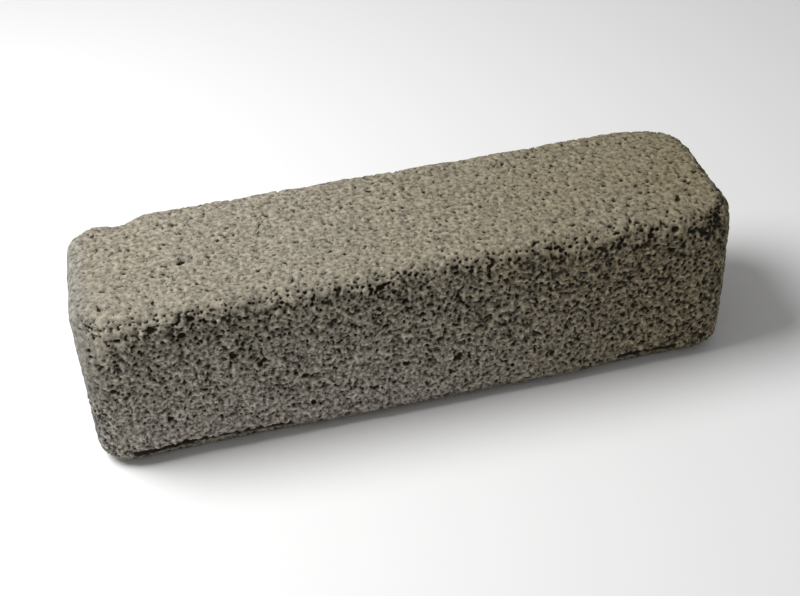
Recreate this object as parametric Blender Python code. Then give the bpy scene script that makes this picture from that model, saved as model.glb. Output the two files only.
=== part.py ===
"""Pumice stone: a rectangular block of foamed stone for scouring, with worn edges and open pores.

Run it with blender --background --python part.py, or from Blender's text editor. The model is in
metres, +Z up. The long side runs along X, the origin is the middle of the flat underside, and the
side that shows its pores most faces -Y. Lengths below are in millimetres, and the meshes are
brought to metres when they are made into objects.
"""
import math
import random

import bmesh
import bpy
import numpy as np
from mathutils import Matrix, Vector, noise

MM = 0.001
SEED = 7

# The block
LENGTH = 150.0
WIDTH = 42.8
HEIGHT = 41.7
CORNER_RADIUS = 8.4  # the upright corners, seen from above
EDGE_RADIUS = 4.4  # the edges round the top and the underside
HALF = np.array((LENGTH, WIDTH, HEIGHT)) / 2

# Rows of faces between the rounded edges
LONG_ROWS = 25
CROSS_ROWS = 4
UPRIGHT_ROWS = 5

# Unevenness of the skin: depth and the distance from one lump to the next
SWELL_DEPTH = 0.55
SWELL_SIZE = 21.0
RIPPLE_DEPTH = 0.45
RIPPLE_SIZE = 8.0

# Worn places along the edges of the top: side (1 is the rear and -1 the front), middle and half length
# along X, distance from the edge that is touched, and depth
WORN_PLACES = (
    (1, -62.0, 6.5, 13.0, 1.2),
    (1, -70.0, 14.0, 13.0, 0.8),
    (1, 71.0, 13.0, 13.0, 1.4),
    (-1, -74.0, 14.0, 12.0, 2.8),
    (-1, -60.0, 9.0, 7.0, 1.3),
    (-1, -47.0, 5.0, 7.0, 1.0),
    (-1, -33.0, 5.5, 6.0, 0.9),
    (-1, -8.0, 4.5, 6.0, 0.8),
    (-1, 36.0, 13.0, 6.0, 1.2),
    (-1, 54.0, 8.0, 7.0, 1.2),
    (-1, 73.0, 15.0, 9.0, 2.4),
)
WORN_CORE = 2.0  # distance from the edge that is worn to the full depth

# The left end leans out, by this much at its foot
LEFT_LEAN = 0.8

# Places where the lower front edge is rubbed off: middle and half length along X, and depth
RUBBED_PLACES = (
    (-46.0, 27.0, 1.0),
    (54.0, 22.0, 0.7),
)
RUBBED_CORE = 1.5  # distance from the sharp edge that is rubbed to the full depth
RUBBED_REACH = 8.0

# The underside is flat, as a rest: stone that faces down more than this share is not uneven
FACING_DOWN = 0.9
REST_RADIUS = 12.0  # middle of the underside that has no pits

# Pits that can be told apart: face, place along it, place across it, length, width, slant in degrees
SEEN_PITS = (
    ("top", -49.5, -2.5, 2.6, 2.0, 20),
    ("top", -63.0, -7.0, 2.2, 1.3, 0),
    ("top", -67.0, -8.0, 1.6, 1.3, 0),
    ("top", -50.0, 12.5, 1.6, 1.3, 40),
    ("top", -53.5, -5.5, 1.5, 1.3, 0),
    ("top", -68.5, 14.0, 1.7, 1.4, 70),
    ("top", 62.5, -12.0, 3.0, 1.5, 55),
    ("top", 67.5, -6.5, 1.6, 1.5, 0),
    ("top", 66.0, 8.5, 1.5, 1.4, 0),
    ("top", 44.5, -17.0, 1.8, 1.4, 10),
    ("top", 51.0, -17.0, 1.7, 1.4, 0),
    ("front", 8.0, 14.5, 2.7, 1.5, 45),
    ("front", -4.0, 15.5, 1.8, 1.2, 0),
    ("front", -27.0, 17.5, 1.9, 1.3, 25),
    ("front", -11.5, 10.0, 1.6, 1.2, 0),
    ("front", -26.0, 9.0, 1.7, 1.3, 90),
    ("front", -8.0, 27.5, 1.5, 1.3, 0),
    ("front", -17.5, 40.0, 2.8, 1.3, 60),
    ("front", -8.5, 38.5, 1.8, 1.3, 0),
    ("front", -49.5, 40.0, 2.2, 1.4, 15),
    ("front", -52.0, 35.5, 1.9, 1.5, 0),
    ("front", -42.0, 27.0, 1.7, 1.4, 30),
    ("front", -58.0, 12.5, 1.5, 1.3, 0),
    ("front", -58.0, 38.0, 1.7, 1.3, 0),
    ("front", 59.0, 39.5, 1.7, 1.3, 20),
    ("front", 66.0, 36.5, 2.2, 1.2, 50),
    ("front", 58.5, 33.5, 1.5, 1.3, 0),
    ("front", 53.5, 38.5, 1.6, 1.3, 0),
)

# The other pits, where pores run together: face, least and most along it, least and most across it,
# how many, and least and most width. The second field on the front is the band under the upper edge.
PIT_FIELDS = (
    ("top", -HALF[0], HALF[0], -HALF[1], HALF[1], 84, 1.1, 1.7),
    ("front", -HALF[0], HALF[0], 0.0, HEIGHT, 128, 1.4, 2.6),
    ("front", -66.0, 66.0, HEIGHT - 12.0, HEIGHT - 3.0, 34, 1.3, 2.3),
    ("back", -HALF[0], HALF[0], 0.0, HEIGHT, 114, 1.5, 3.0),
    ("base", -HALF[0], HALF[0], -HALF[1], HALF[1], 62, 1.5, 3.0),
    ("left", -HALF[1], HALF[1], 0.0, HEIGHT, 30, 1.3, 2.0),
    ("right", -HALF[1], HALF[1], 0.0, HEIGHT, 30, 1.5, 2.6),
)
PIT_STRETCH = 1.5  # most length of a pit, in widths
PIT_GAP = 0.5  # stone left between two pits
PIT_SIDES = 5
PIT_MOUTH = 1.25  # radius of a thorn's open end, in half widths
PIT_HEIGHT = 1.5  # height of a thorn, in half widths

# The crack along the foot of the front: middle and length along X, height, thickness, depth, and the
# slant in degrees, by which its right end is lower
CREVICES = (
    (-49.5, 37.0, 3.6, 2.0, 1.8, 1.2),
    (54.5, 15.0, 3.6, 2.0, 1.5, 0.0),
)
CREVICE_CLEARANCE = 2.3  # pits keep this far from a crack's middle line and ends
CREVICE_SIDES = 8
CREVICE_RINGS = 12
CUT_NEARNESS = 0.001  # a point this near a cut is on it


def smooth_step(value, start, end):
    """0 before start, 1 after end, and a soft rise between them."""
    share = np.clip((value - start) / (end - start), 0.0, 1.0)
    return share * share * (3.0 - 2.0 * share)


def rounded(points):
    """Move points of the sharp box onto the box with round corners and edges, and give the normals."""
    point = np.array(points, dtype=float)
    centred = point - (0.0, 0.0, HALF[2])
    side = np.where(centred < 0, -1.0, 1.0)
    from_face = HALF - np.abs(centred)

    # Corners of the plan: a square of the corner radius becomes a quarter disc
    into = np.maximum(CORNER_RADIUS - from_face[:, :2], 0.0)
    reach = into.max(axis=1)
    distance = np.hypot(into[:, 0], into[:, 1])
    into *= np.divide(reach, distance, out=np.ones_like(reach), where=distance > 0)[:, None]
    in_corner = (into > 0).all(axis=1)
    inner = HALF[:2] - CORNER_RADIUS
    plan = np.where(into > 0, inner + into, np.abs(centred[:, :2]))
    nearest_x = (from_face[:, 0] <= from_face[:, 1])[:, None]
    outward = np.where(nearest_x, (1.0, 0.0), (0.0, 1.0))
    length = np.maximum(np.hypot(into[:, 0], into[:, 1]), 1e-9)[:, None]
    outward = np.where(in_corner[:, None], into / length, outward)

    # Edges of the top and the underside: the same, between the outline and the flat face
    inset = from_face[:, :2].min(axis=1)
    over = np.maximum(EDGE_RADIUS - inset, 0.0)
    up = np.maximum(EDGE_RADIUS - from_face[:, 2], 0.0)
    distance = np.hypot(over, up)
    scale = np.divide(np.maximum(over, up), distance, out=np.ones_like(over), where=distance > 0)
    on_edge = (over > 0) & (up > 0)
    moved = np.where(on_edge, over * (1.0 - scale), 0.0)
    lowered = np.where(on_edge, up * (1.0 - scale), 0.0)
    plan = (plan - outward * moved[:, None]) * side[:, :2]
    height = (HALF[2] - from_face[:, 2] - lowered) * side[:, 2] + HALF[2]

    on_side = inset <= 1e-6
    lean = np.where(on_edge, over, np.where(on_side, 1.0, 0.0))
    rise = np.where(on_edge, up, np.where(on_side, 0.0, 1.0))
    normal = np.column_stack((outward * side[:, :2] * lean[:, None], rise * side[:, 2]))
    normal /= np.linalg.norm(normal, axis=1)[:, None]
    return np.column_stack((plan, height)), normal


def lumps(points, size):
    """Soft noise from 0 to 1, with lumps about `size` apart."""
    return np.array([0.5 + 0.5 * noise.noise(Vector(point) / size) for point in points])


def wear(points):
    """Depth of stone worn off the edges of the top, and rubbed off the lower front edge."""
    x, y, z = points.T
    depth = np.zeros(len(points))
    for side, middle, half_length, reach, most in WORN_PLACES:
        along = smooth_step(1.0 - np.abs(x - middle) / half_length, 0.0, 1.0)
        edge = np.hypot(y - side * HALF[1], z - HEIGHT)
        depth += most * along * (1.0 - smooth_step(edge, WORN_CORE, reach))
    at_foot = 1.0 - smooth_step(np.hypot(y + HALF[1], z), RUBBED_CORE, RUBBED_REACH)
    for middle, half_length, most in RUBBED_PLACES:
        depth += most * smooth_step(1.0 - np.abs(x - middle) / half_length, 0.0, 1.0) * at_foot
    return depth


def surface(points):
    """Points of the sharp box, moved onto the uneven surface of the stone, and the normals there."""
    place, normal = rounded(points)
    depth = SWELL_DEPTH * lumps(place, SWELL_SIZE) + RIPPLE_DEPTH * lumps(place, RIPPLE_SIZE) + wear(place)
    off_base = 1.0 - smooth_step(-normal[:, 2], FACING_DOWN, 1.0)
    near_left = smooth_step(-place[:, 0], HALF[0] - CORNER_RADIUS, HALF[0])
    lean = LEFT_LEAN * near_left * (1.0 - place[:, 2] / HEIGHT)
    place -= normal * (depth * off_base)[:, None]
    place[:, 0] -= lean
    return place, normal


def cuts(half, roundings, rows):
    """Places of the cuts across a side from -half to half: at each rounding, and evenly between them."""
    flat = half - max(roundings)
    middle = np.linspace(-flat, flat, rows + 1)
    outer = [half - distance for distance in roundings if distance < max(roundings)]
    return [*middle, *outer, *[-place for place in outer]]


def block_mesh():
    """The block: a box cut into rows, whose points are then moved onto the stone's surface."""
    mesh = bmesh.new()
    bmesh.ops.create_cube(mesh, size=1.0)
    bmesh.ops.scale(mesh, vec=(LENGTH, WIDTH, HEIGHT), verts=mesh.verts)
    bend = EDGE_RADIUS * (1.0 - math.tan(math.radians(22.5)))
    plan_roundings = (bend, EDGE_RADIUS, CORNER_RADIUS)
    cut_places = (
        cuts(HALF[0], plan_roundings, LONG_ROWS),
        cuts(HALF[1], plan_roundings, CROSS_ROWS),
        cuts(HALF[2], (bend, EDGE_RADIUS), UPRIGHT_ROWS),
    )
    for axis, places in enumerate(cut_places):
        for place in places:
            point = Vector((0, 0, 0))
            point[axis] = place
            direction = Vector((0, 0, 0))
            direction[axis] = 1
            geometry = [*mesh.verts, *mesh.edges, *mesh.faces]
            bmesh.ops.bisect_plane(
                mesh, geom=geometry, dist=CUT_NEARNESS, plane_co=point, plane_no=direction
            )
    bmesh.ops.translate(mesh, vec=(0, 0, HALF[2]), verts=mesh.verts)
    places, _ = surface([vertex.co for vertex in mesh.verts])
    for vertex, place in zip(mesh.verts, places):
        vertex.co = place
    return mesh


def on_face(face, along, across):
    """Point of the sharp box, from a face's name and two lengths on it."""
    return {
        "top": (along, across, HEIGHT),
        "base": (along, across, 0.0),
        "front": (along, -HALF[1], across),
        "back": (along, HALF[1], across),
        "left": (-HALF[0], along, across),
        "right": (HALF[0], along, across),
    }[face]


def pit_frame(normal, slant):
    """Axes of a pit: along its length, across it and out of the stone."""
    level = Vector((0, 1, 0)) if abs(normal.x) > 0.9 else Vector((1, 0, 0))
    level = (level - normal * level.dot(normal)).normalized()
    long_axis = Matrix.Rotation(math.radians(slant), 3, normal) @ level
    return Matrix((long_axis, normal.cross(long_axis), normal)).transposed()


def in_crevice(centre):
    """True near one of the cracks, which pits keep clear of."""
    return any(
        abs(centre.x - middle) < length / 2 + CREVICE_CLEARANCE
        and abs(centre.z - height) < CREVICE_CLEARANCE
        and centre.y < 0
        for middle, length, height, _, _, _ in CREVICES
    )


def pits():
    """Every pit: its centre, its axes, its three half sizes, and whether it is one of the seen ones."""
    rng = random.Random(SEED)
    chosen = list(SEEN_PITS)
    for face, left, right, low, high, count, least, most in PIT_FIELDS:
        for _ in range(count):
            along = rng.uniform(left, right)
            across = rng.uniform(low, high)
            width = least + (most - least) * rng.random() ** 2
            length = width * rng.uniform(1.0, PIT_STRETCH)
            chosen.append((face, along, across, length, width, rng.uniform(0, 180)))
    places, normals = surface([on_face(*entry[:3]) for entry in chosen])
    found = []
    for index, (face, _, _, length, width, slant) in enumerate(chosen):
        centre = Vector(places[index])
        normal = Vector(normals[index])
        on_rest = face == "base" and centre.xy.length < REST_RADIUS
        touching = any((centre - other[0]).length < length / 2 + other[2][0] + PIT_GAP for other in found)
        if on_rest or touching or in_crevice(centre):
            continue
        sizes = (length / 2, width / 2, width / 2)
        found.append((centre, pit_frame(normal, slant), sizes, index < len(SEEN_PITS)))
    return found


def pit_mesh():
    """The pits: faceted pebbles for those that can be told apart, and blunt thorns for the others."""
    mesh = bmesh.new()
    for centre, axes, sizes, seen in pits():
        placed = Matrix.Translation(centre) @ axes.to_4x4() @ Matrix.Diagonal((*sizes, 1.0))
        if seen:
            bmesh.ops.create_icosphere(mesh, subdivisions=1, radius=1.0, matrix=placed)
            continue
        bmesh.ops.create_cone(
            mesh,
            cap_ends=True,
            segments=PIT_SIDES,
            radius1=0.0,
            radius2=PIT_MOUTH,
            depth=PIT_HEIGHT,
            matrix=placed,
        )
    return mesh


def crevice_mesh():
    """The cracks as long thin lenses that lie in the front face."""
    mesh = bmesh.new()
    for middle, length, height, thickness, depth, slant in CREVICES:
        places, _ = surface([(middle, -HALF[1], height)])
        placed = (
            Matrix.Translation(places[0])
            @ Matrix.Rotation(math.radians(slant), 4, "Y")
            @ Matrix.Diagonal((length / 2, depth, thickness / 2, 1.0))
            @ Matrix.Rotation(math.radians(90), 4, "Y")
        )
        bmesh.ops.create_uvsphere(
            mesh, u_segments=CREVICE_SIDES, v_segments=CREVICE_RINGS, radius=1.0, matrix=placed
        )
    return mesh


def make_object(name, mesh, collection, material=None):
    """A mesh in millimetres as an object in metres."""
    bmesh.ops.scale(mesh, vec=(MM, MM, MM), verts=mesh.verts)
    bmesh.ops.recalc_face_normals(mesh, faces=mesh.faces)
    data = bpy.data.meshes.new(name)
    mesh.to_mesh(data)
    mesh.free()
    if material:
        data.materials.append(material)
    obj = bpy.data.objects.new(name, data)
    collection.objects.link(obj)
    return obj


def make_cutter(name, mesh, collection):
    """A shape that is only cut away."""
    cutter = make_object(name, mesh, collection)
    cutter.display_type = "WIRE"
    cutter.hide_render = True
    return cutter


def cut_with(obj, cutter):
    """Take the cutter's shape away from the object."""
    modifier = obj.modifiers.new(cutter.name, "BOOLEAN")
    modifier.operation = "DIFFERENCE"
    modifier.solver = "EXACT"
    modifier.object = cutter


def pumice_material():
    """Dry, matt, warm grey stone."""
    material = bpy.data.materials.new("pumice")
    material.use_nodes = True
    shader = material.node_tree.nodes["Principled BSDF"]
    shader.inputs["Base Color"].default_value = (0.27, 0.25, 0.20, 1.0)
    shader.inputs["Roughness"].default_value = 0.95
    shader.inputs["Metallic"].default_value = 0.0
    return material


def make_collection(name):
    """A collection in the scene."""
    collection = bpy.data.collections.new(name)
    bpy.context.scene.collection.children.link(collection)
    return collection


def main():
    """Clear the scene and model the stone."""
    for obj in list(bpy.data.objects):
        bpy.data.objects.remove(obj, do_unlink=True)
    stone_collection = make_collection("pumice stone")
    cutter_collection = make_collection("cutters")
    stone = make_object("pumice_stone", block_mesh(), stone_collection, pumice_material())
    cut_with(stone, make_cutter("pits", pit_mesh(), cutter_collection))
    cut_with(stone, make_cutter("crevices", crevice_mesh(), cutter_collection))


main()
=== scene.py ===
"""Looks of the pumice stone: its pores and grain, its colours, the studio and the camera.

The stone is one closed mesh over the solid of the same name. It starts from the same box, wear and
pits as the solid, and gets the thousands of fine pores that the solid leaves out. Lengths are in
millimetres until the mesh is made, and in metres from there on.
"""
import math
import random

import bpy
import numpy as np
from mathutils import Matrix, Vector, kdtree, noise


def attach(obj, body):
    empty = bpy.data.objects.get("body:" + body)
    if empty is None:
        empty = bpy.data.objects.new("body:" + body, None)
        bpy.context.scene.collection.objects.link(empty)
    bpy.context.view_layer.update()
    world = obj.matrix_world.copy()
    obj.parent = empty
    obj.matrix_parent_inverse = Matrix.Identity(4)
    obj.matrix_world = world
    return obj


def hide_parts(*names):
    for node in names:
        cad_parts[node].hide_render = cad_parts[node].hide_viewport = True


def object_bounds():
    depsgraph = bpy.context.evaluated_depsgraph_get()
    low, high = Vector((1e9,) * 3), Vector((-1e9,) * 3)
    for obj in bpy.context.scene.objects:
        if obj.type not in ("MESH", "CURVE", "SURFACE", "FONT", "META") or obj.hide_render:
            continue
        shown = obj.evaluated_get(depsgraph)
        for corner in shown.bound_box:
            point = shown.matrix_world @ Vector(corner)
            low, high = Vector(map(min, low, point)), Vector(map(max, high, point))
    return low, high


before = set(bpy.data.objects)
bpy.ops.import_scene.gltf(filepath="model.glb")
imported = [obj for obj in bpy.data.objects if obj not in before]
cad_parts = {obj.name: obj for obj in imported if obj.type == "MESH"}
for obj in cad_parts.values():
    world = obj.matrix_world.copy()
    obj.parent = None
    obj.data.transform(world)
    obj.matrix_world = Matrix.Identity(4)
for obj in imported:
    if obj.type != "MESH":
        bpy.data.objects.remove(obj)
cad_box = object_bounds()

MM = 0.001

SEED = 7

# The block, as in the solid
LENGTH = 150.0
WIDTH = 42.8
HEIGHT = 41.7
CORNER_RADIUS = 8.4
EDGE_RADIUS = 4.4
HALF = np.array((LENGTH, WIDTH, HEIGHT)) / 2

# Unevenness of the skin: depth and the distance from one lump to the next
SWELL_DEPTH = 0.55
SWELL_SIZE = 21.0
RIPPLE_DEPTH = 0.45
RIPPLE_SIZE = 8.0

# Worn places along the edges of the top: side (1 is the rear and -1 the front), middle and half length
# along X, distance from the edge that is touched, and depth
WORN_PLACES = (
    (1, -62.0, 6.5, 13.0, 1.2),
    (1, -70.0, 14.0, 13.0, 0.8),
    (1, 71.0, 13.0, 13.0, 1.4),
    (-1, -74.0, 14.0, 12.0, 2.8),
    (-1, -60.0, 9.0, 7.0, 1.3),
    (-1, -47.0, 5.0, 7.0, 1.0),
    (-1, -33.0, 5.5, 6.0, 0.9),
    (-1, -8.0, 4.5, 6.0, 0.8),
    (-1, 36.0, 13.0, 6.0, 1.2),
    (-1, 54.0, 8.0, 7.0, 1.2),
    (-1, 73.0, 15.0, 9.0, 2.4),
)
WORN_CORE = 2.0

# The left end leans out, by this much at its foot
LEFT_LEAN = 0.8

# Places where the lower front edge is rubbed off: middle and half length along X, and depth
RUBBED_PLACES = (
    (-46.0, 27.0, 1.0),
    (54.0, 22.0, 0.7),
)
RUBBED_CORE = 1.5
RUBBED_REACH = 8.0

# The underside is flat, as a rest: stone that faces down more than this share is not uneven
FACING_DOWN = 0.9
REST_RADIUS = 12.0

# Pits that can be told apart: face, place along it, place across it, length, width, slant in degrees
SEEN_PITS = (
    ("top", -49.5, -2.5, 2.6, 2.0, 20),
    ("top", -63.0, -7.0, 2.2, 1.3, 0),
    ("top", -67.0, -8.0, 1.6, 1.3, 0),
    ("top", -50.0, 12.5, 1.6, 1.3, 40),
    ("top", -53.5, -5.5, 1.5, 1.3, 0),
    ("top", -68.5, 14.0, 1.7, 1.4, 70),
    ("top", 62.5, -12.0, 3.0, 1.5, 55),
    ("top", 67.5, -6.5, 1.6, 1.5, 0),
    ("top", 66.0, 8.5, 1.5, 1.4, 0),
    ("top", 44.5, -17.0, 1.8, 1.4, 10),
    ("top", 51.0, -17.0, 1.7, 1.4, 0),
    ("front", 8.0, 14.5, 2.7, 1.5, 45),
    ("front", -4.0, 15.5, 1.8, 1.2, 0),
    ("front", -27.0, 17.5, 1.9, 1.3, 25),
    ("front", -11.5, 10.0, 1.6, 1.2, 0),
    ("front", -26.0, 9.0, 1.7, 1.3, 90),
    ("front", -8.0, 27.5, 1.5, 1.3, 0),
    ("front", -17.5, 40.0, 2.8, 1.3, 60),
    ("front", -8.5, 38.5, 1.8, 1.3, 0),
    ("front", -49.5, 40.0, 2.2, 1.4, 15),
    ("front", -52.0, 35.5, 1.9, 1.5, 0),
    ("front", -42.0, 27.0, 1.7, 1.4, 30),
    ("front", -58.0, 12.5, 1.5, 1.3, 0),
    ("front", -58.0, 38.0, 1.7, 1.3, 0),
    ("front", 59.0, 39.5, 1.7, 1.3, 20),
    ("front", 66.0, 36.5, 2.2, 1.2, 50),
    ("front", 58.5, 33.5, 1.5, 1.3, 0),
    ("front", 53.5, 38.5, 1.6, 1.3, 0),
)

# The other pits, where pores run together: face, least and most along it, least and most across it,
# how many, and least and most width. The second field on the front is the band under the upper edge.
PIT_FIELDS = (
    ("top", -HALF[0], HALF[0], -HALF[1], HALF[1], 84, 1.1, 1.7),
    ("front", -HALF[0], HALF[0], 0.0, HEIGHT, 128, 1.4, 2.6),
    ("front", -66.0, 66.0, HEIGHT - 12.0, HEIGHT - 3.0, 34, 1.3, 2.3),
    ("back", -HALF[0], HALF[0], 0.0, HEIGHT, 114, 1.5, 3.0),
    ("base", -HALF[0], HALF[0], -HALF[1], HALF[1], 62, 1.5, 3.0),
    ("left", -HALF[1], HALF[1], 0.0, HEIGHT, 30, 1.3, 2.0),
    ("right", -HALF[1], HALF[1], 0.0, HEIGHT, 30, 1.5, 2.6),
)
PIT_STRETCH = 1.5
PIT_GAP = 0.5
FACING_END = 0.9  # stone that faces along X more than this share is an end of the block

# The crack along the foot of the front: middle and length along X, height, thickness, depth, and the
# slant in degrees, by which its right end is lower
CREVICES = (
    (-49.5, 37.0, 3.6, 2.0, 1.8, 1.2),
    (54.5, 15.0, 3.6, 2.0, 1.5, 0.0),
)
CREVICE_CLEARANCE = 2.3  # pits keep this far from a crack's middle line and ends

# How the crack is worn beyond the solid's. Its middle line is lower by the drop, and wanders by the
# wobble, with waves of a length. Its width is the solid's times the first share, and by up to the
# second share more at notches of a size. The lower the fade, the nearer to its ends it stays deep.
CREVICE_DROP = 0.45
CREVICE_WOBBLE = 0.8
CREVICE_WAVE = 3.0
CREVICE_WIDTH_SHARES = (1.0, 0.8)
CREVICE_NOTCH = 1.3
CREVICE_FADE = 0.25
CREVICE_ZONE = 8.0  # no crack is above this height

# The fine mesh: distance between its first points, and the triangles that are kept
SPACING = 0.22
TRIANGLES = 198000

# Pores: face, distance between them, share of places that hold one, least and most radius, and least
# and most sink of a pore's middle below the surface, in radii. A negative sink gives a shallow dish.
PORE_FIELDS = (
    ("top", 1.50, 0.90, 0.32, 0.50, 0.3, 1.1),
    ("top", 2.70, 0.90, 0.36, 0.60, 0.0, 0.6),
    ("top", 1.30, 0.90, 0.45, 0.80, -0.85, -0.50),
    ("front", 1.05, 0.95, 0.34, 0.62, 0.0, 0.9),
    ("front", 1.50, 0.90, 0.60, 1.10, -0.80, -0.45),
    ("back", 1.10, 0.95, 0.32, 0.60, 0.0, 0.8),
    ("back", 1.70, 0.90, 0.55, 1.00, -0.80, -0.45),
    ("base", 1.20, 0.90, 0.32, 0.60, 0.0, 0.7),
    ("left", 1.05, 0.90, 0.30, 0.55, 0.0, 0.8),
    ("right", 1.10, 0.90, 0.28, 0.50, 0.0, 0.8),
)
SMALL_PORES = 1.4  # the higher this power, the more of a field's pores are near its least radius
FINER_BELOW = 0.22  # share by which the front's pores are smaller at its left foot
COARSER_RIGHT = 0.05  # share by which pores are larger at the right end, and smaller at the left
SKIN_PORES = 0.2  # share of the sides' and the underside's pores that stay where there is skin

# The solid's seen pits: sink of the middle below the surface, as a share of the half width, and the
# size as a share of the solid's, where the stone faces up more than a share, and elsewhere
SEEN_SINK = 0.35
SEEN_SHARES = (0.85, 1.10)
FACING_UP = 0.5

# Each of the solid's other pits is a cluster of bubbles: how many, how far they spread along and
# across the pit and their least and most radius, as shares of its half length and half width, and
# their least and most sink, in their own radii
CLUSTER = 3
CLUSTER_SPREAD = (0.7, 0.5)
CLUSTER_RADII = (0.40, 0.62)
CLUSTER_SINKS = (-0.2, 0.4)

# Roughness of the walls between the pores: depth and size
GRAINS = ((0.60, 1.8), (0.24, 0.9))
SMOOTH_BASE = 0.8  # share of that roughness that the flat underside lacks
# The hollow depth, held at this, sets the painted shade in the pores
MOST_HOLLOW = 1.5  # hollows deeper than this look alike

# The stone keeps its skin where it faces this way, from the first share of it on and wholly from the
# second. It has none below the first of the heights, and its whole skin only above the second.
SKIN_WAY = np.array((-0.78, -0.25, 0.75))
SKIN_RIGHT = 0.4  # share of the turn to the right that counts against the skin
SKIN_SHARES = (0.37, 0.85)
SKIN_HEIGHTS = (14.0, 34.0)
SKIN_ROUGHNESS = 0.35  # share of the roughness that the skin has
SMOOTHED = 0.17  # how much a millimetre of wear adds to those shares

# Stretches where the skin folds further over the front's upper edge: middle, half length, added share
SKIN_FOLDS = (
    (-69.0, 9.0, 0.10),
    (31.0, 15.0, 0.14),
    (59.0, 13.0, 0.12),
)
FOLD_RISE = 0.5  # share of the half length over which a fold comes in

# The sheet on which the six sides are laid out for the materials: its length, and for each side the
# direction that it faces, the way along it, the way up it, and the place of its corner
SHEET = 200.0
SIDES = (
    ((0, 0, 1), (1, 0, 0), (0, 1, 0), (2.0, 2.0)),
    ((0, -1, 0), (1, 0, 0), (0, 0, 1), (2.0, 47.0)),
    ((0, 0, -1), (1, 0, 0), (0, -1, 0), (2.0, 92.0)),
    ((0, 1, 0), (-1, 0, 0), (0, 0, 1), (2.0, 137.0)),
    ((-1, 0, 0), (0, -1, 0), (0, 0, 1), (155.0, 2.0)),
    ((1, 0, 0), (0, 1, 0), (0, 0, 1), (155.0, 47.0)),
)

# Colours of the stone, with painted light and shade among them
TAN = (0.282, 0.254, 0.198, 1.0)
# Browner tone, and partly painted shade for the key light's fall-off to the right
BROWN_WITH_PAINTED_SHADE = (0.228, 0.194, 0.122, 1.0)
GREY = (0.266, 0.248, 0.200, 1.0)
BLUE_GREY = (0.253, 0.241, 0.212, 1.0)
# Browner tone and painted shade on the right of the front
DARK_BROWN_WITH_PAINTED_SHADE = (0.238, 0.199, 0.130, 1.0)
# Painted bounce light: a paler purple-grey, low on the left of the front
PAINTED_BOUNCE_LIGHT = (0.344, 0.309, 0.270, 1.0)
# Painted shade along the foot of the front, where the lip faces down
FOOT_PAINTED_SHADE = (0.110, 0.092, 0.068, 1.0)
# Painted shade in the pores and hollows
PORE_PAINTED_SHADE = (0.026, 0.021, 0.014, 1.0)

# Where the tints lie: the place at which a tint starts, and the one from which it is whole
BROWN_WITH_PAINTED_SHADE_X = (-25.0, 75.0)
BLUE_GREY_X = (-69.0, -74.0)
FRONT_Y = (-18.5, -21.0)
DARK_BROWN_WITH_PAINTED_SHADE_X = (0.0, 50.0)
PAINTED_BOUNCE_LIGHT_X = (60.0, -10.0)
PAINTED_BOUNCE_LIGHT_Z = (36.0, 4.0)
FOOT_PAINTED_SHADE_Z = (3.4, 2.0)

# Grey patches: size, values of the noise between which they come in, and most amount
PATCH_SIZE = 26.0
PATCH_NOISE = (0.35, 0.75)
PATCH_AMOUNT = 0.35

# Specks of the material: size, and amount on the skin and where the pores are open
GRAIN_SIZE = 1.0
GRAIN_AMOUNTS = (2.3, 4.4)
MOTTLE_SIZE = 2.6
MOTTLE_AMOUNTS = (0.5, 1.0)

# Hollows get painted shade between these depths. The mouths of that painted shade are ragged: size, depth
# either way, and the values of the noise between which that comes in
PAINTED_SHADE_DEPTHS = (0.20, 0.55)
RAGGED_SIZE = 0.5
RAGGED_DEPTH = 0.10
RAGGED_NOISE = (0.3, 0.7)

# Bubbles that are only in the material, with painted shade in them: distance between them, least and most
# radius, share of them that have the least, share of the radius within which the painted shade is darkest,
# and how light they stay there
BUBBLE_DISTANCE = 0.9
BUBBLE_RADII = (0.072, 0.30)
BUBBLE_LEAST_SHARE = 0.2
BUBBLE_FLOOR = 0.6
BUBBLE_PAINTED_SHADE_LEVEL = 0.45

# Fine tooth of the material: size, share by which bubbles lower it, and depth on the skin and where
# the pores are open
TOOTH_SIZE = 0.7
TOOTH_BUBBLES = 0.5
TOOTH_DEPTHS = (0.14 * MM, 0.30 * MM)


def smooth_step(value, start, end):
    """0 before start, 1 after end, and a soft rise between them."""
    share = np.clip((value - start) / (end - start), 0.0, 1.0)
    return share * share * (3.0 - 2.0 * share)


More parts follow.
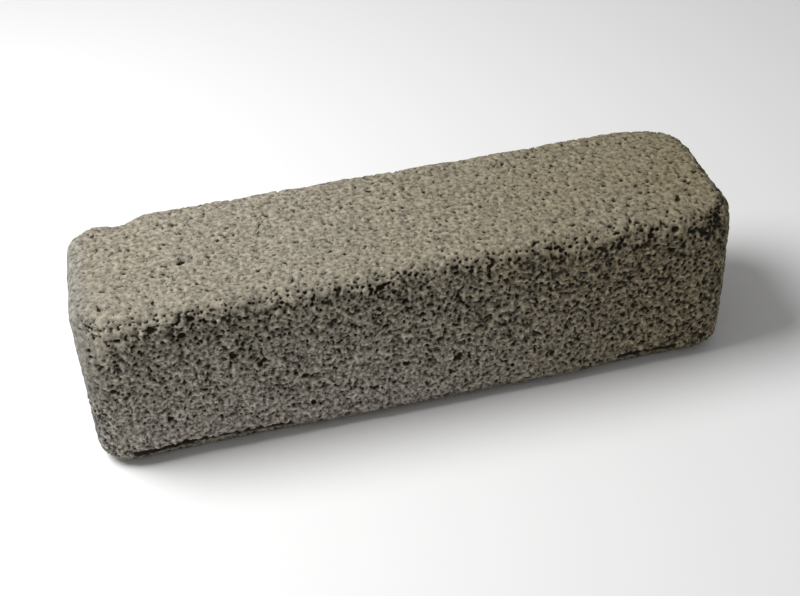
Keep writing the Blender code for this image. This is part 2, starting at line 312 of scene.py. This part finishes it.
def rounded(points):
    """Move points of the sharp box onto the box with round corners and edges, and give the normals."""
    point = np.array(points, dtype=float)
    centred = point - (0.0, 0.0, HALF[2])
    side = np.where(centred < 0, -1.0, 1.0)
    from_face = HALF - np.abs(centred)

    # Corners of the plan: a square of the corner radius becomes a quarter disc
    into = np.maximum(CORNER_RADIUS - from_face[:, :2], 0.0)
    reach = into.max(axis=1)
    distance = np.hypot(into[:, 0], into[:, 1])
    into *= np.divide(reach, distance, out=np.ones_like(reach), where=distance > 0)[:, None]
    in_corner = (into > 0).all(axis=1)
    inner = HALF[:2] - CORNER_RADIUS
    plan = np.where(into > 0, inner + into, np.abs(centred[:, :2]))
    nearest_x = (from_face[:, 0] <= from_face[:, 1])[:, None]
    outward = np.where(nearest_x, (1.0, 0.0), (0.0, 1.0))
    length = np.maximum(np.hypot(into[:, 0], into[:, 1]), 1e-9)[:, None]
    outward = np.where(in_corner[:, None], into / length, outward)

    # Edges of the top and the underside: the same, between the outline and the flat face
    inset = from_face[:, :2].min(axis=1)
    over = np.maximum(EDGE_RADIUS - inset, 0.0)
    up = np.maximum(EDGE_RADIUS - from_face[:, 2], 0.0)
    distance = np.hypot(over, up)
    scale = np.divide(np.maximum(over, up), distance, out=np.ones_like(over), where=distance > 0)
    on_edge = (over > 0) & (up > 0)
    moved = np.where(on_edge, over * (1.0 - scale), 0.0)
    lowered = np.where(on_edge, up * (1.0 - scale), 0.0)
    plan = (plan - outward * moved[:, None]) * side[:, :2]
    height = (HALF[2] - from_face[:, 2] - lowered) * side[:, 2] + HALF[2]

    on_side = inset <= 1e-6
    lean = np.where(on_edge, over, np.where(on_side, 1.0, 0.0))
    rise = np.where(on_edge, up, np.where(on_side, 0.0, 1.0))
    normal = np.column_stack((outward * side[:, :2] * lean[:, None], rise * side[:, 2]))
    normal /= np.linalg.norm(normal, axis=1)[:, None]
    return np.column_stack((plan, height)), normal


def lumps(points, size):
    """Soft noise from 0 to 1, with lumps about `size` apart."""
    return np.array([0.5 + 0.5 * noise.noise(Vector(point)) for point in points / size])


def wear(points):
    """Depth of stone worn off the edges of the top, and rubbed off the lower front edge."""
    x, y, z = points.T
    depth = np.zeros(len(points))
    for side, middle, half_length, reach, most in WORN_PLACES:
        along = smooth_step(1.0 - np.abs(x - middle) / half_length, 0.0, 1.0)
        edge = np.hypot(y - side * HALF[1], z - HEIGHT)
        depth += most * along * (1.0 - smooth_step(edge, WORN_CORE, reach))
    at_foot = 1.0 - smooth_step(np.hypot(y + HALF[1], z), RUBBED_CORE, RUBBED_REACH)
    for middle, half_length, most in RUBBED_PLACES:
        depth += most * smooth_step(1.0 - np.abs(x - middle) / half_length, 0.0, 1.0) * at_foot
    return depth


def surface(points):
    """Points of the sharp box, moved onto the uneven surface of the stone, and the normals there."""
    place, normal = rounded(points)
    depth = SWELL_DEPTH * lumps(place, SWELL_SIZE) + RIPPLE_DEPTH * lumps(place, RIPPLE_SIZE) + wear(place)
    off_base = 1.0 - smooth_step(-normal[:, 2], FACING_DOWN, 1.0)
    near_left = smooth_step(-place[:, 0], HALF[0] - CORNER_RADIUS, HALF[0])
    lean = LEFT_LEAN * near_left * (1.0 - place[:, 2] / HEIGHT)
    place -= normal * (depth * off_base)[:, None]
    place[:, 0] -= lean
    return place, normal


def on_face(face, along, across):
    """Point of the sharp box, from a face's name and two lengths on it."""
    return {
        "top": (along, across, HEIGHT),
        "base": (along, across, 0.0),
        "front": (along, -HALF[1], across),
        "back": (along, HALF[1], across),
        "left": (-HALF[0], along, across),
        "right": (HALF[0], along, across),
    }[face]


def pit_frame(normal, slant):
    """Axes of a pit: along its length, across it and out of the stone."""
    level = Vector((0, 1, 0)) if abs(normal.x) > FACING_END else Vector((1, 0, 0))
    level = (level - normal * level.dot(normal)).normalized()
    long_axis = Matrix.Rotation(math.radians(slant), 3, normal) @ level
    return Matrix((long_axis, normal.cross(long_axis), normal)).transposed()


def in_crevice(centre):
    """True near one of the cracks, which pits keep clear of."""
    return any(
        abs(centre.x - middle) < length / 2 + CREVICE_CLEARANCE
        and abs(centre.z - height) < CREVICE_CLEARANCE
        and centre.y < 0
        for middle, length, height, _, _, _ in CREVICES
    )


def pits():
    """Every pit of the solid: its centre, its axes, its three half sizes, and whether it is a seen one."""
    rng = random.Random(SEED)
    chosen = list(SEEN_PITS)
    for face, left, right, low, high, count, least, most in PIT_FIELDS:
        for _ in range(count):
            along = rng.uniform(left, right)
            across = rng.uniform(low, high)
            width = least + (most - least) * rng.random() ** 2
            length = width * rng.uniform(1.0, PIT_STRETCH)
            chosen.append((face, along, across, length, width, rng.uniform(0, 180)))
    places, normals = surface([on_face(*entry[:3]) for entry in chosen])
    found = []
    for index, (face, _, _, length, width, slant) in enumerate(chosen):
        centre = Vector(places[index])
        normal = Vector(normals[index])
        on_rest = face == "base" and centre.xy.length < REST_RADIUS
        touching = any((centre - other[0]).length < length / 2 + other[2][0] + PIT_GAP for other in found)
        if on_rest or touching or in_crevice(centre):
            continue
        sizes = (length / 2, width / 2, width / 2)
        found.append((centre, pit_frame(normal, slant), sizes, index < len(SEEN_PITS)))
    return found


def box_skin():
    """Points and four-sided faces of the sharp box, as a fine lattice."""
    counts = np.round(2 * HALF / SPACING).astype(int)
    number = np.full(counts + 1, -1, dtype=np.int32)
    skin = np.zeros(counts + 1, dtype=bool)
    for axis in range(3):
        ends = [slice(None)] * 3
        ends[axis] = [0, -1]
        skin[tuple(ends)] = True
    number[skin] = np.arange(skin.sum())
    points = np.argwhere(skin) / counts * (2 * HALF) - (HALF[0], HALF[1], 0.0)
    faces = []
    for axis in range(3):
        for end in (0, -1):
            grid = number.take(end, axis=axis)
            quads = np.stack((grid[:-1, :-1], grid[1:, :-1], grid[1:, 1:], grid[:-1, 1:]), axis=-1)
            outward = (end == -1) != (axis == 1)
            faces.append((quads if outward else quads[..., ::-1]).reshape(-1, 4))
    return points, np.concatenate(faces)


def pores(rng):
    """Centres and radii of the pores, spread evenly over each face and moved about at random."""
    centres = []
    radii = []
    for face, distance, share, least, most, least_sink, most_sink in PORE_FIELDS:
        long_half = HALF[1] if face in ("left", "right") else HALF[0]
        flat = face in ("top", "base")
        low, high = (-HALF[1], HALF[1]) if flat else (0.0, HEIGHT)
        rows = int(2 * long_half / distance)
        columns = int((high - low) / distance)
        along, across = np.meshgrid(np.arange(rows), np.arange(columns), indexing="ij")
        along = (along + 0.5 + rng.uniform(-0.5, 0.5, along.shape)) / rows * 2 * long_half - long_half
        across = (across + 0.5 + rng.uniform(-0.5, 0.5, across.shape)) / columns * (high - low) + low
        kept = rng.random(along.shape) < share
        place, normal = surface([on_face(face, *pair) for pair in zip(along[kept], across[kept])])
        if face != "top":
            stays = rng.random(len(place)) < SKIN_PORES + (1.0 - SKIN_PORES) * openness(place, normal)
            place = place[stays]
            normal = normal[stays]
        radius = least + (most - least) * rng.random(len(place)) ** SMALL_PORES
        to_right = place[:, 0] / HALF[0]
        if face == "front":
            radius *= 1.0 + FINER_BELOW * (place[:, 2] / HEIGHT - 1.0) * np.minimum(1.0 - to_right, 1.0)
        radius *= 1.0 + COARSER_RIGHT * to_right
        sink = rng.uniform(least_sink, most_sink, len(place))
        centres.append(place - normal * (radius * sink)[:, None])
        radii.append(radius)
    return np.concatenate(centres), np.concatenate(radii)


def bubbles(rng):
    """Every hollow as a centre, a matrix that makes it a unit ball, and its reach."""
    centres, reaches = pores(rng)
    shapes = np.eye(3)[None] / reaches[:, None, None]
    extra = []
    for centre, axes, sizes, seen in pits():
        outward = axes.col[2]
        if seen:
            share = SEEN_SHARES[0] if outward.z > FACING_UP else SEEN_SHARES[1]
            inverse = Matrix.Diagonal([1 / (share * size) for size in sizes]) @ axes.transposed()
            extra.append((centre - outward * SEEN_SINK * sizes[2], inverse, share * max(sizes)))
            continue
        for _ in range(CLUSTER):
            along, across = (
                axes.col[way] * rng.uniform(-spread, spread) * sizes[way]
                for way, spread in enumerate(CLUSTER_SPREAD)
            )
            radius = sizes[1] * rng.uniform(*CLUSTER_RADII)
            middle = centre + along + across - outward * rng.uniform(*CLUSTER_SINKS) * radius
            extra.append((middle, Matrix.Identity(3) * (1 / radius), radius))
    centres = np.concatenate((centres, [tuple(entry[0]) for entry in extra]))
    shapes = np.concatenate((shapes, [np.array(entry[1]) for entry in extra]))
    reaches = np.concatenate((reaches, [entry[2] for entry in extra]))
    return centres, shapes, reaches


def tree_of(places):
    """A tree that finds the places near a point."""
    tree = kdtree.KDTree(len(places))
    for index, place in enumerate(places):
        tree.insert(place, index)
    tree.balance()
    return tree


def carve(places, normals, centres, shapes, reaches):
    """How deep the bubbles open the surface at each place, straight in."""
    tree = tree_of(places)
    touched = []
    bubble = []
    for index, (centre, reach) in enumerate(zip(centres, reaches)):
        near = [found[1] for found in tree.find_range(centre, reach)]
        touched += near
        bubble += [index] * len(near)
    touched = np.array(touched)
    bubble = np.array(bubble)
    start = np.einsum("nij,nj->ni", shapes[bubble], places[touched] - centres[bubble])
    inward = np.einsum("nij,nj->ni", shapes[bubble], -normals[touched])
    square = (inward ** 2).sum(axis=1)
    half = (start * inward).sum(axis=1)
    root = half ** 2 - square * ((start ** 2).sum(axis=1) - 1.0)
    through = (-half + np.sqrt(np.maximum(root, 0.0))) / square
    depth = np.zeros(len(places))
    np.maximum.at(depth, touched, np.where(root > 0, through, 0.0))
    return depth


def crevice_depth(places):
    """Depth of the crack along the foot of the front."""
    depth = np.zeros(len(places))
    low = np.flatnonzero((places[:, 2] < CREVICE_ZONE) & (places[:, 1] < 0))
    near = places[low]
    x, _, z = near.T
    least, added = CREVICE_WIDTH_SHARES
    for middle, length, height, thickness, most, slant in CREVICES:
        along = np.clip(1.0 - ((x - middle) / (length / 2)) ** 2, 0.0, 1.0)
        line = height - CREVICE_DROP - math.tan(math.radians(slant)) * (x - middle)
        line += CREVICE_WOBBLE * (lumps(near * (1, 0, 0), CREVICE_WAVE) - 0.5)
        wide = thickness * (least + added * lumps(near, CREVICE_NOTCH))
        across = np.clip(1.0 - ((z - line) / (wide / 2)) ** 2, 0.0, 1.0)
        depth[low] = np.maximum(depth[low], most * along ** CREVICE_FADE * np.sqrt(across))
    return depth


def openness(places, normals):
    """1 where the stone shows its open pores, and 0 where it keeps its skin or is worn smooth."""
    counted = np.where(normals > 0, (SKIN_RIGHT, 1.0, 1.0), 1.0)
    share = (normals * counted) @ SKIN_WAY + SMOOTHED * wear(places)
    for middle, half_length, more in SKIN_FOLDS:
        share += more * smooth_step(1.0 - np.abs(places[:, 0] - middle) / half_length, 0.0, FOLD_RISE)
    closed = smooth_step(share, *SKIN_SHARES)
    return 1.0 - closed * smooth_step(places[:, 2], *SKIN_HEIGHTS)


def keep(mesh, name, kind, values):
    """Store values on the points of a mesh."""
    attribute = mesh.attributes.new(name, kind, "POINT")
    attribute.data.foreach_set("vector" if kind == "FLOAT_VECTOR" else "value", np.ravel(values))


def whole_mesh():
    """The stone as a closed mesh in metres, with far too many triangles."""
    points, faces = box_skin()
    places, normals = surface(points)
    rng = np.random.default_rng(SEED)
    hollow = np.maximum(carve(places, normals, *bubbles(rng)), crevice_depth(places))
    is_open = openness(places, normals)
    grain = sum(depth * (lumps(places, size) - 0.5) for depth, size in GRAINS)
    grain *= SKIN_ROUGHNESS + (1.0 - SKIN_ROUGHNESS) * is_open
    off_base = 1.0 - SMOOTH_BASE * smooth_step(-normals[:, 2], FACING_DOWN, 1.0)
    moved = places - normals * (hollow + grain * off_base)[:, None]
    mesh = bpy.data.meshes.new("pumice_surface")
    mesh.from_pydata((moved * MM).tolist(), [], faces.tolist())
    keep(mesh, "hollow", "FLOAT", np.clip(hollow, 0.0, MOST_HOLLOW))
    keep(mesh, "open", "FLOAT", is_open)
    keep(mesh, "facing", "FLOAT_VECTOR", normals)
    return mesh


def lighter(mesh, triangles):
    """The same mesh with fewer triangles, which stay where the shape bends most."""
    obj = bpy.data.objects.new("whole", mesh)
    bpy.context.scene.collection.objects.link(obj)
    fewer = obj.modifiers.new("fewer", "DECIMATE")
    fewer.ratio = triangles / (2 * len(mesh.polygons))
    fewer.use_collapse_triangulate = True
    made = bpy.data.meshes.new_from_object(obj.evaluated_get(bpy.context.evaluated_depsgraph_get()))
    bpy.data.objects.remove(obj)
    bpy.data.meshes.remove(mesh)
    return made


def read(values, name, width):
    """Numbers of a list of Blender's, in rows."""
    found = np.empty(len(values) * width)
    values.foreach_get(name, found)
    return found.reshape(-1, width)


def hold_in_box(mesh):
    """Bring the few points that stand proud of the solid's box back onto it."""
    places = np.clip(read(mesh.vertices, "co", 3), *cad_box)
    mesh.vertices.foreach_set("co", places.ravel())


def lay_out(mesh):
    """Lay the six sides of the block on a sheet, by the way that the stone faces under its pores."""
    corner = read(mesh.loops, "vertex_index", 1).astype(int)[:, 0]
    facing = read(mesh.attributes["facing"].data, "vector", 3)[corner].reshape(-1, 3, 3).mean(axis=1)
    side = np.repeat(np.argmax(facing @ np.array([entry[0] for entry in SIDES]).T, axis=1), 3)
    centred = read(mesh.vertices, "co", 3)[corner] / MM - (0.0, 0.0, HALF[2])
    place = []
    for axis in (1, 2):
        way = np.array([entry[axis] for entry in SIDES])
        start = np.abs(way) @ HALF + np.array([entry[3][axis - 1] for entry in SIDES])
        place.append(((centred * way[side]).sum(axis=1) + start[side]) / SHEET)
    layer = mesh.uv_layers.new(name="OFBake")
    layer.data.foreach_set("uv", np.column_stack(place).ravel())
    mesh.attributes.remove(mesh.attributes["facing"])


def pumice_stone():
    """The stone, in place of its solid."""
    mesh = lighter(whole_mesh(), TRIANGLES)
    hold_in_box(mesh)
    lay_out(mesh)
    mesh.shade_smooth()
    mesh.materials.clear()
    mesh.materials.append(pumice_material())
    obj = bpy.data.objects.new("pumice_stone_surface", mesh)
    bpy.context.scene.collection.objects.link(obj)
    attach(obj, "root")
    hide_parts("pumice_stone")


def add(tree, kind, inputs=None, **settings):
    """A node, with its settings and its inputs given as values or as the outputs that feed them."""
    node = tree.nodes.new(kind)
    for name, value in settings.items():
        setattr(node, name, value)
    for name, value in (inputs or {}).items():
        if isinstance(value, bpy.types.NodeSocket):
            tree.links.new(value, node.inputs[name])
        else:
            node.inputs[name].default_value = value
    return node


def in_millimetres(tree):
    """Place on the object, in millimetres."""
    place = add(tree, "ShaderNodeTexCoord").outputs["Object"]
    node = add(tree, "ShaderNodeVectorMath", {"Vector": place}, operation="SCALE")
    node.inputs["Scale"].default_value = 1 / MM
    return node.outputs["Vector"]


def noise_of(tree, place, size, detail):
    """Noise from about 0.2 to 0.8, with lumps of a size in millimetres."""
    inputs = {"Vector": place, "Scale": 1 / size, "Detail": detail, "Roughness": 0.6}
    return add(tree, "ShaderNodeTexNoise", inputs).outputs["Fac"]


def ramp(tree, value, start, end, low=0.0, high=1.0):
    """A value brought from one range to another, and held within it."""
    inputs = {"Value": value, "From Min": start, "From Max": end, "To Min": low, "To Max": high}
    return add(tree, "ShaderNodeMapRange", inputs).outputs["Result"]


def math_of(tree, operation, one, other):
    """Two values, put together by an operation."""
    node = add(tree, "ShaderNodeMath", operation=operation)
    for socket, value in zip(node.inputs, (one, other)):
        if isinstance(value, bpy.types.NodeSocket):
            tree.links.new(value, socket)
        else:
            socket.default_value = value
    return node.outputs["Value"]


def vary(tree, value, amount):
    """A shade about 1 that follows a noise, by an amount."""
    around = math_of(tree, "SUBTRACT", value, 0.5)
    return math_of(tree, "ADD", math_of(tree, "MULTIPLY", around, amount), 1.0)


def times(tree, *values):
    """Product of several values."""
    product = values[0]
    for value in values[1:]:
        product = math_of(tree, "MULTIPLY", product, value)
    return product


def colour_mix(tree, kind, factor, one, other):
    """A Mix node for colours, given as values or outputs."""
    node = add(tree, "ShaderNodeMix", data_type="RGBA", blend_type=kind)
    sockets = [socket for socket in node.inputs if socket.type == "RGBA"]
    for socket, value in ((node.inputs["Factor"], factor), (sockets[0], one), (sockets[1], other)):
        if isinstance(value, bpy.types.NodeSocket):
            tree.links.new(value, socket)
        else:
            socket.default_value = value
    return next(socket for socket in node.outputs if socket.type == "RGBA")


def fine_bubbles(tree, place):
    """1 in small bubbles that the surface cuts open, and 0 outside them."""
    inputs = {"Vector": place, "Scale": 1 / BUBBLE_DISTANCE, "Randomness": 1.0}
    cells = add(tree, "ShaderNodeTexVoronoi", inputs).outputs
    chance = add(tree, "ShaderNodeSeparateColor", {"Color": cells["Color"]}).outputs["Red"]
    least, most = (radius / BUBBLE_DISTANCE for radius in BUBBLE_RADII)
    radius = ramp(tree, chance, BUBBLE_LEAST_SHARE, 1.0, least, most)
    return ramp(tree, cells["Distance"], times(tree, radius, BUBBLE_FLOOR), radius, 1.0, 0.0)


def stone_tint(tree, place):
    """Broad tints: tan; browner and darker to the right, partly as painted shade for the key light's
    fall-off, and more so on the front;
    bluer on the left end; painted bounce light, paler and purple-grey, low on the front's left; and painted
    shade along the foot of the front."""
    axes = add(tree, "ShaderNodeSeparateXYZ", {"Vector": place}).outputs
    # Browner to the right, and darker there as painted shade for the light's fall-off
    colour = colour_mix(tree, "MIX", ramp(tree, axes["X"], *BROWN_WITH_PAINTED_SHADE_X), TAN, BROWN_WITH_PAINTED_SHADE)
    patches = ramp(tree, noise_of(tree, place, PATCH_SIZE, 2.0), *PATCH_NOISE, 0.0, PATCH_AMOUNT)
    colour = colour_mix(tree, "MIX", patches, colour, GREY)
    colour = colour_mix(tree, "MIX", ramp(tree, axes["X"], *BLUE_GREY_X), colour, BLUE_GREY)
    on_front = ramp(tree, axes["Y"], *FRONT_Y)
    # Painted shade and a browner tone on the right of the front
    right = ramp(tree, axes["X"], *DARK_BROWN_WITH_PAINTED_SHADE_X)
    colour = colour_mix(tree, "MIX", times(tree, on_front, right), colour, DARK_BROWN_WITH_PAINTED_SHADE)
    # Painted bounce light, paler and purple-grey, low on the front's left
    low = ramp(tree, axes["Z"], *PAINTED_BOUNCE_LIGHT_Z)
    left = ramp(tree, axes["X"], *PAINTED_BOUNCE_LIGHT_X)
    colour = colour_mix(tree, "MIX", times(tree, on_front, low, left), colour, PAINTED_BOUNCE_LIGHT)
    # Painted shade along the foot of the front
    at_foot = ramp(tree, axes["Z"], *FOOT_PAINTED_SHADE_Z)
    return colour_mix(tree, "MIX", times(tree, on_front, at_foot), colour, FOOT_PAINTED_SHADE)


def pumice_material():
    """Dry matt stone with grains, and painted shade in its hollows and in its fine bubbles."""
    material = bpy.data.materials.new("pumice")
    material.use_nodes = True
    tree = material.node_tree
    shader = tree.nodes["Principled BSDF"]
    shader.inputs["Roughness"].default_value = 0.95
    shader.inputs["Specular IOR Level"].default_value = 0.15
    place = in_millimetres(tree)
    hollow = add(tree, "ShaderNodeAttribute", attribute_name="hollow").outputs["Fac"]
    is_open = add(tree, "ShaderNodeAttribute", attribute_name="open").outputs["Fac"]

    # Specks of about a millimetre and more, stronger where the pores are open
    grain_amount = ramp(tree, is_open, 0.0, 1.0, *GRAIN_AMOUNTS)
    grains = vary(tree, noise_of(tree, place, GRAIN_SIZE, 2.0), grain_amount)
    mottle_amount = ramp(tree, is_open, 0.0, 1.0, *MOTTLE_AMOUNTS)
    mottle = vary(tree, noise_of(tree, place, MOTTLE_SIZE, 1.0), mottle_amount)

    # Painted shade in the hollows, with ragged mouths, and in the finest bubbles between them
    ragged = ramp(tree, noise_of(tree, place, RAGGED_SIZE, 2.0), *RAGGED_NOISE, -RAGGED_DEPTH, RAGGED_DEPTH)
    bubble = fine_bubbles(tree, place)
    # Painted shade: the stone's colour gives way to the dark in the hollows and the fine bubbles
    light_share = times(
        tree,
        ramp(tree, math_of(tree, "ADD", hollow, ragged), *PAINTED_SHADE_DEPTHS, 1.0, 0.0),
        # Painted shade in the fine bubbles
        ramp(tree, bubble, 0.0, 1.0, 1.0, BUBBLE_PAINTED_SHADE_LEVEL),
    )
    skin = colour_mix(tree, "MULTIPLY", 1.0, stone_tint(tree, place), times(tree, grains, mottle))
    colour = colour_mix(tree, "MIX", light_share, PORE_PAINTED_SHADE, skin)
    tree.links.new(colour, shader.inputs["Base Color"])

    # Fine tooth
    lowered = math_of(tree, "MULTIPLY", bubble, TOOTH_BUBBLES)
    tooth = math_of(tree, "SUBTRACT", noise_of(tree, place, TOOTH_SIZE, 3.0), lowered)
    depth = ramp(tree, is_open, 0.0, 1.0, *TOOTH_DEPTHS)
    bump = add(tree, "ShaderNodeBump", {"Height": tooth, "Strength": 1.0, "Distance": depth})
    tree.links.new(bump.outputs["Normal"], shader.inputs["Normal"])
    return material


# Studio, in metres: the floor's half width and how far it lies under the stone, and the lights
FLOOR_HALF = 3.0
FLOOR_DROP = 0.0001
FLOOR_COLOUR = (0.9, 0.9, 0.9, 1.0)
KEY_POWER = 2.1
KEY_SIZE = 0.26
KEY_PLACE = (-0.24, 0.05, 0.38)
KEY_AIM = (0.0, 0.0, 0.02)
SKY_COLOUR = (1.0, 1.0, 1.0, 1.0)
SKY_STRENGTH = 0.28


def floor():
    """A plain pale floor, just under the stone."""
    mesh = bpy.data.meshes.new("floor")
    ways = ((-1, -1), (1, -1), (1, 1), (-1, 1))
    mesh.from_pydata([(x * FLOOR_HALF, y * FLOOR_HALF, 0.0) for x, y in ways], [], [(0, 1, 2, 3)])
    material = bpy.data.materials.new("floor")
    material.use_nodes = True
    shader = material.node_tree.nodes["Principled BSDF"]
    shader.inputs["Base Color"].default_value = FLOOR_COLOUR
    shader.inputs["Roughness"].default_value = 0.9
    mesh.materials.append(material)
    obj = bpy.data.objects.new("floor", mesh)
    obj.location.z = -FLOOR_DROP
    bpy.context.scene.collection.objects.link(obj)


def light():
    """A soft key light from above on the left, and even light from all round."""
    data = bpy.data.lights.new("key", "AREA")
    data.energy = KEY_POWER
    data.shape = "DISK"
    data.size = KEY_SIZE
    key = bpy.data.objects.new("key", data)
    key.location = KEY_PLACE
    key.rotation_mode = "QUATERNION"
    key.rotation_quaternion = (Vector(KEY_AIM) - key.location).to_track_quat("-Z", "Y")
    bpy.context.scene.collection.objects.link(key)
    world = bpy.data.worlds.new("studio")
    world.use_nodes = True
    background = world.node_tree.nodes["Background"].inputs
    background["Color"].default_value = SKY_COLOUR
    background["Strength"].default_value = SKY_STRENGTH
    bpy.context.scene.world = world
    bpy.context.scene.view_settings.view_transform = "Standard"


# Camera: seen from the front left and above, leaning a little
AZIMUTH = -10.42
ELEVATION = 39.30
ROLL = -4.045
DISTANCE = 310.5
SHIFT_ACROSS = -0.42
SHIFT_UP = -2.69
FOCAL_PIXELS = 1313.0
IMAGE_WIDTH = 800
SENSOR = 36.0


def camera():
    """The camera at the photograph's place."""
    azimuth, elevation, roll = (math.radians(angle) for angle in (AZIMUTH, ELEVATION, ROLL))
    back = Vector((
        math.sin(azimuth) * math.cos(elevation),
        -math.cos(azimuth) * math.cos(elevation),
        math.sin(elevation),
    ))
    right = (-back).cross(Vector((0, 0, 1))).normalized()
    up = right.cross(-back)
    across = right * math.cos(roll) + up * math.sin(roll)
    upward = up * math.cos(roll) - right * math.sin(roll)
    target = Vector((0, 0, HALF[2])) + across * SHIFT_ACROSS + upward * SHIFT_UP
    data = bpy.data.cameras.new("camera")
    data.sensor_width = SENSOR
    data.lens = FOCAL_PIXELS * SENSOR / IMAGE_WIDTH
    data.clip_start = 0.01
    obj = bpy.data.objects.new("camera", data)
    turn = Matrix((across, upward, back)).transposed().to_4x4()
    obj.matrix_world = Matrix.Translation((target + back * DISTANCE) * MM) @ turn
    bpy.context.scene.collection.objects.link(obj)
    bpy.context.scene.camera = obj


pumice_stone()
floor()
light()
camera()
bpy.context.view_layer.update()
